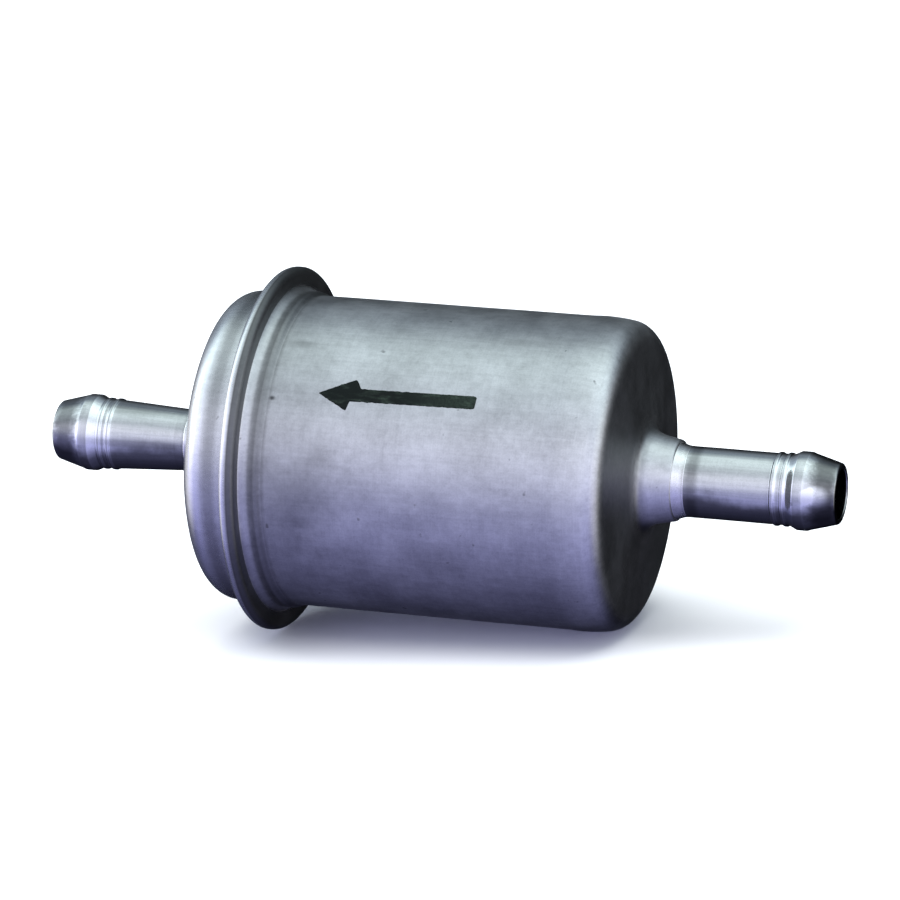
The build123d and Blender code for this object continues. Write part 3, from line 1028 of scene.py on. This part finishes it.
@dataclass
class PreloadSpring(Piece):
    """The coil spring that presses the element on its seal."""

    start: float = 18.2
    end: float = 23.825
    radius: float = 9.0
    wire: float = 0.55
    turns: float = 2.5
    joint: str = "element_lift"
    keep: float = 0.80
    around: int = 20
    steps: int = 200

    def mesh(self) -> bpy.types.Object:
        """Make the mesh of the piece, in the row frame."""
        vertices: list[tuple[float, float, float]] = []
        for step in range(self.steps + 1):
            share = step / self.steps
            turn = 2 * math.pi * self.turns * share
            x = self.start + (self.end - self.start) * share
            outward = Vector((0.0, math.cos(turn), math.sin(turn)))
            middle = Vector((x, 0.0, 0.0)) + outward * self.radius
            for corner in range(self.around):
                angle = 2 * math.pi * corner / self.around
                offset = outward * math.cos(angle) + Vector((1.0, 0.0, 0.0)) * math.sin(angle)
                vertices.append(tuple((middle + offset * self.wire * 0.99) * MM))
        faces: list[tuple[int, ...]] = []
        for step in range(self.steps):
            for corner in range(self.around):
                after = (corner + 1) % self.around
                here = step * self.around
                ahead = here + self.around
                faces.append((here + corner, here + after, ahead + after, ahead + corner))
        faces.append(tuple(range(self.around)))
        faces.append(tuple(self.steps * self.around + i for i in reversed(range(self.around))))
        return mesh_object(self.name, vertices, faces)

    def build(self, paint: Paint) -> bpy.types.Object:
        """Make the spring and give it its own copy of the mesh.

        Args:
            paint: The finishes.

        Returns:
            The finished piece.
        """
        obj = super().build(paint)
        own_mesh(obj)
        return obj


CARRIED: dict[str, Slot] = {
    "seam_gasket": Slot.SEALING_FILM,
    "outlet_end_cap": Slot.PAN_STEEL,
    "inlet_end_cap": Slot.PAN_STEEL,
    "outlet_potting": Slot.POTTING,
    "inlet_potting": Slot.POTTING,
    "pleated_paper": Slot.PAPER,
    "seam_clip": Slot.CLIP_STEEL,
    "core_tube": Slot.CORE_STEEL,
    "outlet_screen": Slot.GAUZE,
    "screen_ring": Slot.RING_PLASTIC,
    "element_seal": Slot.SEAL_RUBBER,
    "locating_spider": Slot.SPIDER_STEEL,
}


@dataclass
class CarriedNodes:
    """The CAD nodes that are shown as they are, with their finishes."""

    finishes: dict[str, Slot]

    def dress(self, paint: Paint) -> None:
        """Put a finish on every carried-over node."""
        for name, slot in self.finishes.items():
            paint.dress(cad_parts[name], slot)
            LOG.info("node %s dressed in %s", name, slot.value)


def shell_pieces() -> list[Piece]:
    """Return every piece that stands for CAD nodes, in the order that they are built."""
    shell = Body.SHELL
    return [
        DrawnShell(
            "can_shell",
            ("housing_can",),
            Slot.CAN_STEEL,
            shell,
            stations=(
                (-20.5, 21.4),
                (-20.5, 19.15),
                (-17.9, 19.15),
                (-17.3, 18.7),
                (17.4, 18.7),
                (19.0, 18.79),
                (21.4, 18.62),
                (24.12, 18.15),
                (25.2, 6.1),
                (26.5, 5.2),
                (29.2, 4.65),
            ),
            bends=(1.9, 0.6, 0.6, 14.0, 14.0, 12.0, 2.5, 1.8, 4.0),
        ),
        DrawnShell(
            "cover_shell",
            ("end_cover",),
            Slot.COVER_STEEL,
            shell,
            stations=(
                (-19.9, 20.4),
                (-19.9, 22.1),
                (-21.2, 22.1),
                (-21.2, 18.8),
                (-27.52, 18.8),
                (-27.48, 5.4),
                (-31.28, 4.2),
            ),
            bends=(0.55, 0.55, 0.8, 2.7, 1.2),
            seed=11.0,
        ),
        Spigot("inlet_spigot_turned", ("inlet_spigot",), Slot.SPIGOT_STEEL, shell),
        Spigot(
            "outlet_spigot_turned",
            ("outlet_spigot",),
            Slot.SPIGOT_STEEL,
            shell,
            side=Side.OUTLET,
            tip=50.3,
            root=28.48,
            neck_tube=3.85,
        ),
        BrazeRing("inlet_braze_fillet", ("inlet_braze_ring",), Slot.BRAZE, shell),
        BrazeRing(
            "outlet_braze_fillet",
            ("outlet_braze_ring",),
            Slot.BRAZE,
            shell,
            side=Side.OUTLET,
            start=30.95,
            tube=3.85,
        ),
        FlowArrow("flow_arrow_ink", ("flow_arrow",), Slot.INK, shell),
        PreloadSpring("element_spring_coil", ("element_spring",), Slot.SPRING_STEEL, shell),
    ]


# ---------------------------------------------------------------- studio


@dataclass
class Studio:
    """The plain floor, the soft light and the camera."""

    azimuth: float = 18.0
    elevation: float = 14.68
    distance: float = 600.0
    lens: float = 199.32
    aim: Color = (2.078, -5.044, 2.83)
    floor_tilt: float = 4.3
    floor_contact: Point = (-20.5, 22.4)
    floor_size: float = 6.0
    key_power: float = 60.0
    key_size: float = 2.4
    key_place: Color = (-0.2, -0.3, 1.8)
    backdrop: Color = (0.93, 0.93, 0.94)
    dark_side: Color = (0.30, 0.94, -0.15)
    dark_span: Point = (0.50, 0.90)
    strength: Point = (2.15, 0.15)
    glow: float = 0.30
    glow_span: Point = (0.78, 0.96)

    def camera(self) -> bpy.types.Object:
        """Make the camera and make it the scene's camera."""
        turn = math.radians(self.azimuth)
        rise = math.radians(self.elevation)
        back = Vector((math.sin(turn) * math.cos(rise), -math.cos(turn) * math.cos(rise), math.sin(rise)))
        data = bpy.data.cameras.new("camera")
        data.lens = self.lens
        data.sensor_width = 36.0
        data.clip_start = 0.01
        data.clip_end = 50.0
        obj = bpy.data.objects.new("camera", data)
        obj.location = (Vector(self.aim) + back * self.distance) * MM
        obj.rotation_euler = (-back).to_track_quat("-Z", "Y").to_euler()
        bpy.context.scene.collection.objects.link(obj)
        bpy.context.scene.camera = obj
        return obj

    def floor(self) -> bpy.types.Object:
        """Make the pale floor, which touches the crimped rim and the inlet end of the can."""
        tilt = math.radians(self.floor_tilt)
        normal = Vector((-math.sin(tilt), 0.0, math.cos(tilt)))
        along = Vector((math.cos(tilt), 0.0, math.sin(tilt)))
        x, radius = self.floor_contact
        touch = Vector((x, 0.0, -radius)) * MM - normal * 0.0002
        half = self.floor_size / 2
        corners = []
        for sx, sy in ((-1, -1), (1, -1), (1, 1), (-1, 1)):
            corners.append(tuple(touch + along * (sx * half) + Vector((0.0, sy * half, 0.0))))
        mesh = bpy.data.meshes.new("floor")
        mesh.from_pydata(corners, [], [(0, 1, 2, 3)])
        obj = bpy.data.objects.new("floor", mesh)
        bpy.context.scene.collection.objects.link(obj)
        graph = Graph.of_material("floor_paper")
        point = graph.point()
        shade = graph.noise(point, 0.02, 3.0)
        grain = graph.noise(point, 1.2, 3.0)
        color = graph.mix(graph.remap(shade, NOISE_SPAN, (0.0, 1.0)), (0.90, 0.90, 0.91), (0.92, 0.92, 0.925))
        rough = graph.remap(grain, NOISE_SPAN, (0.8, 0.95), False)
        normal_map = graph.bump(grain, 0.2, 0.02)
        material = graph.surface(
            {"Base Color": color, "Roughness": rough, "Normal": normal_map, "Specular IOR Level": 0.1}
        )
        mesh.materials.append(material)
        obj.visible_glossy = False
        return obj

    def key(self) -> bpy.types.Object:
        """Make the broad overhead lamp that lights the floor and softens the shadow."""
        data = bpy.data.lights.new("overhead_panel", "AREA")
        data.shape = "RECTANGLE"
        data.size = self.key_size
        data.size_y = self.key_size
        data.energy = self.key_power
        obj = bpy.data.objects.new("overhead_panel", data)
        obj.location = self.key_place
        obj.rotation_euler = (-Vector(obj.location)).to_track_quat("-Z", "Y").to_euler()
        obj.visible_glossy = False
        bpy.context.scene.collection.objects.link(obj)
        return obj

    def surround(self) -> None:
        """Make the surround that the steel mirrors: pale in front and above, dark below and behind."""
        world = bpy.data.worlds.new("surround")
        bpy.context.scene.world = world
        graph = Graph(world)
        direction = graph.node("ShaderNodeTexCoord").outputs["Generated"]
        parts = graph.node("ShaderNodeSeparateXYZ", {0: direction}).outputs
        angle = graph.math("ARCTAN2", parts[2], graph.math("MULTIPLY", parts[1], -1.0))
        share = graph.remap(angle, (-math.pi, math.pi), (0.0, 1.0), False)
        side = graph.remap(parts[0], (-1.0, 1.0), (0.0, 1.0), False)
        color = graph.vector("MULTIPLY", graph.ramp(share, AROUND), graph.ramp(side, ACROSS))
        glow = graph.remap(graph.math("ABSOLUTE", parts[0]), self.glow_span, (0.0, self.glow))
        color = graph.vector("ADD", color, glow)
        toward = graph.vector("DOT_PRODUCT", direction, self.dark_side)
        strength = graph.remap(toward, self.dark_span, self.strength)
        lit = graph.node("ShaderNodeBackground", {0: color, 1: strength})
        plain = graph.node("ShaderNodeBackground", {0: (*self.backdrop, 1.0)})
        seen = graph.node("ShaderNodeLightPath").outputs["Is Camera Ray"]
        mix = graph.node("ShaderNodeMixShader", {0: seen, 1: lit.outputs[0], 2: plain.outputs[0]})
        graph.node("ShaderNodeOutputWorld", {0: mix.outputs[0]})

    def build(self) -> None:
        """Make the floor, the light and the camera."""
        self.camera()
        self.floor()
        self.key()
        self.surround()
        bpy.context.scene.view_settings.view_transform = "Standard"


def at(degrees: float) -> float:
    """Return the ramp position of an angle from the front, up being positive."""
    return (degrees + 180.0) / 360.0


def across_at(x: float) -> float:
    """Return the ramp position of the sideways share of a direction."""
    return (x + 1.0) / 2.0


# The surround by angle round the filter's axis: below, front, overhead, behind.
# Its brightness is raised by the studio's strength.
AROUND: tuple[tuple[float, Color], ...] = (
    (at(-180), (0.040, 0.044, 0.052)),
    (at(-160), (0.014, 0.015, 0.024)),
    (at(-125), (0.014, 0.015, 0.030)),
    (at(-85), (0.042, 0.043, 0.090)),
    (at(-55), (0.098, 0.100, 0.195)),
    (at(-32), (0.138, 0.142, 0.262)),
    (at(-10), (0.185, 0.192, 0.300)),
    (at(10), (0.335, 0.349, 0.440)),
    (at(32), (0.390, 0.410, 0.475)),
    (at(55), (0.262, 0.294, 0.328)),
    (at(82), (0.372, 0.434, 0.456)),
    (at(104), (0.375, 0.446, 0.460)),
    (at(128), (0.110, 0.135, 0.160)),
    (at(155), (0.060, 0.070, 0.082)),
    (at(180), (0.050, 0.056, 0.066)),
)

# How bright the surround is from the left (-1) to the right (+1).
ACROSS: tuple[tuple[float, Color], ...] = (
    (across_at(-1.0), (1.55, 1.55, 1.60)),
    (across_at(-0.6), (1.45, 1.45, 1.48)),
    (across_at(-0.34), (0.68, 0.68, 0.68)),
    (across_at(-0.24), (0.80, 0.80, 0.80)),
    (across_at(-0.05), (1.30, 1.30, 1.28)),
    (across_at(0.6), (1.35, 1.35, 1.36)),
    (across_at(0.9), (1.20, 1.20, 1.24)),
    (across_at(1.0), (0.70, 0.70, 0.76)),
)


def main() -> None:
    """Build every piece, dress the carried-over nodes and set the studio."""
    logging.basicConfig(level=logging.INFO, format="%(message)s")
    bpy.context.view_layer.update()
    paint = Paint(FINISHES)
    for piece in shell_pieces():
        obj = piece.build(paint)
        LOG.info("piece %s: %d faces on %s", obj.name, len(obj.data.polygons), piece.body.value)
    CarriedNodes(CARRIED).dress(paint)
    Studio().build()


if __name__ == "__main__":
    main()
